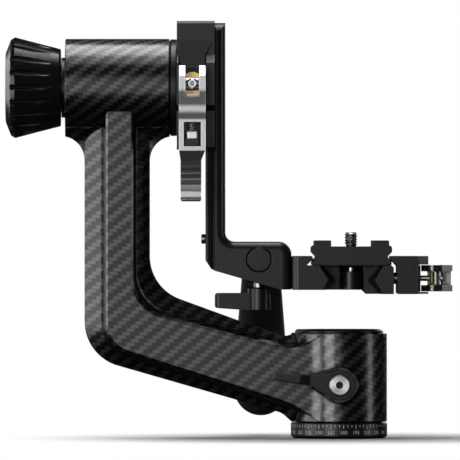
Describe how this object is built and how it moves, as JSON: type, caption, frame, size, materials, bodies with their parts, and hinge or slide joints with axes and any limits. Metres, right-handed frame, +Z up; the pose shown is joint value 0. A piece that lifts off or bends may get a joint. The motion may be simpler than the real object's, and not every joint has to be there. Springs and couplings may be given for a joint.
{
  "type": "gimbal tripod head",
  "caption": "Gimbal tripod head: carbon side arm on a pan base, tilt barrel with fluted knob, L bracket on a dovetail rail and a lever-clamped camera plate.",
  "frame": {"origin": "on the pan axis at the underside of the base, where the tripod screw enters", "axes": "+Z up along the pan axis, +X towards the camera platform, +Y away from the side with the levers"},
  "size_m": [0.2142, 0.1623, 0.1995],
  "materials": {
    "carbon": "woven carbon fibre under clear gloss",
    "anodised": "satin black anodised",
    "satin_metal": "bead-blasted silver",
    "steel": "machined steel",
    "chrome": "polished",
    "brass": "satin brass",
    "rubber": "moulded black rubber",
    "grip": "finely ringed black grip"
  },
  "bodies": {
    "base": {"base_ring": "anodised", "pan_spindle": "steel", "pan_nut": "steel"},
    "pan": {"yoke_arm": "carbon", "tilt_barrel": "carbon", "pan_housing": "carbon", "pan_sleeve": "steel", "pan_bearing_lower": "steel", "pan_bearing_upper": "steel", "top_cap": "anodised", "pan_brake_shoe": "brass", "tilt_sleeve": "steel", "tilt_bearing_left": "steel", "tilt_bearing_right": "steel", "neck_ring": "anodised"},
    "pan_lock": {"pan_lock_lever": "anodised", "pan_lock_screw": "chrome"},
    "cradle": {"tilt_shaft": "steel", "tilt_collar": "anodised", "upper_clamp_body": "anodised", "upper_post_screw": "satin_metal", "upper_tie_bolt": "chrome", "upper_cross_pin": "satin_metal", "upper_guide_pins": "steel"},
    "knob": {"tilt_knob": "rubber", "knob_insert": "brass", "knob_cap": "anodised"},
    "upper_jaw": {"upper_jaw": "anodised", "upper_cam_washer": "brass"},
    "upper_lever": {"upper_lever": "satin_metal"},
    "upper_latch": {"upper_latch_block": "satin_metal", "upper_latch_button": "anodised"},
    "swing_arm": {"swing_bracket": "anodised", "dovetail_rail": "anodised", "stop_screw": "steel", "lower_clamp_body": "anodised", "lower_post_screw": "satin_metal", "lower_tie_bolt": "chrome", "lower_cross_pin": "satin_metal", "lower_guide_pins": "steel"},
    "lower_jaw": {"lower_jaw": "anodised", "lower_cam_washer": "brass"},
    "lower_lever": {"lower_lever": "satin_metal"},
    "lower_latch": {"lower_latch_block": "satin_metal", "lower_latch_button": "anodised"},
    "handle": {"handle_axle": "anodised", "handle_hub": "anodised", "handle_grip": "grip"},
    "handle_lock": {"lock_handle": "anodised", "lock_handle_screw": "steel"},
    "plate": {"quick_plate": "anodised"},
    "camera_screw": {"camera_screw": "chrome"}
  },
  "joints": [
    {"name": "pan_turn", "type": "hinge", "parent": "base", "child": "pan", "pos_m": [0, 0, 0], "axis": [0, 0, 1], "continuous": true},
    {"name": "pan_lock_turn", "type": "hinge", "parent": "pan", "child": "pan_lock", "pos_m": [0, -0.0252, 0.0256], "axis": [0, -1, 0], "range_deg": [0, 60]},
    {"name": "tilt", "type": "hinge", "parent": "pan", "child": "cradle", "pos_m": [-0.0777, 0, 0.168], "axis": [1, 0, 0], "range_deg": [-10, 100]},
    {"name": "tilt_knob_turn", "type": "hinge", "parent": "cradle", "child": "knob", "pos_m": [-0.1335, 0, 0.168], "axis": [-1, 0, 0], "range_deg": [0, 270]},
    {"name": "rail_slide", "type": "slide", "parent": "cradle", "child": "swing_arm", "axis": [0, 0, 1], "range_m": [0, 0.04]},
    {"name": "upper_lever_swing", "type": "hinge", "parent": "cradle", "child": "upper_lever", "pos_m": [-0.07025, -0.0407, 0.1694], "axis": [-1, 0, 0], "range_deg": [0, 60]},
    {"name": "upper_jaw_slide", "type": "slide", "parent": "cradle", "child": "upper_jaw", "axis": [0, -1, 0], "range_m": [0, 0.00055]},
    {"name": "upper_latch_slide", "type": "slide", "parent": "upper_lever", "child": "upper_latch", "axis": [0, 0, 1], "range_m": [0, 0.0015], "stiffness_N_per_m": 200, "springref_m": -0.001},
    {"name": "lower_lever_swing", "type": "hinge", "parent": "swing_arm", "child": "lower_lever", "pos_m": [0.0465, -0.0006, 0.07655], "axis": [0, 0, -1], "range_deg": [0, 60]},
    {"name": "lower_jaw_slide", "type": "slide", "parent": "swing_arm", "child": "lower_jaw", "axis": [1, 0, 0], "range_m": [0, 0.00055]},
    {"name": "lower_latch_slide", "type": "slide", "parent": "lower_lever", "child": "lower_latch", "axis": [0, -1, 0], "range_m": [0, 0.0015], "stiffness_N_per_m": 200, "springref_m": -0.001},
    {"name": "plate_slide", "type": "slide", "parent": "swing_arm", "child": "plate", "axis": [0, 1, 0], "range_m": [-0.02, 0.02]},
    {"name": "camera_screw_turn", "type": "hinge", "parent": "plate", "child": "camera_screw", "pos_m": [0.0058, 0, 0.09], "axis": [0, 0, 1], "continuous": true},
    {"name": "handle_swing", "type": "hinge", "parent": "swing_arm", "child": "handle", "pos_m": [-0.0384, 0.019, 0.0856], "axis": [0, 1, 0], "range_deg": [-50, 50]},
    {"name": "handle_lock_turn", "type": "hinge", "parent": "swing_arm", "child": "handle_lock", "pos_m": [-0.0384, 0, 0.07], "axis": [0, 0, -1], "range_deg": [0, 120]}
  ],
  "couplings": [
    {"joint": "upper_lever_swing", "follows": "upper_jaw_slide", "rad_per_m": 1904},
    {"joint": "lower_lever_swing", "follows": "lower_jaw_slide", "rad_per_m": 1904}
  ]
}
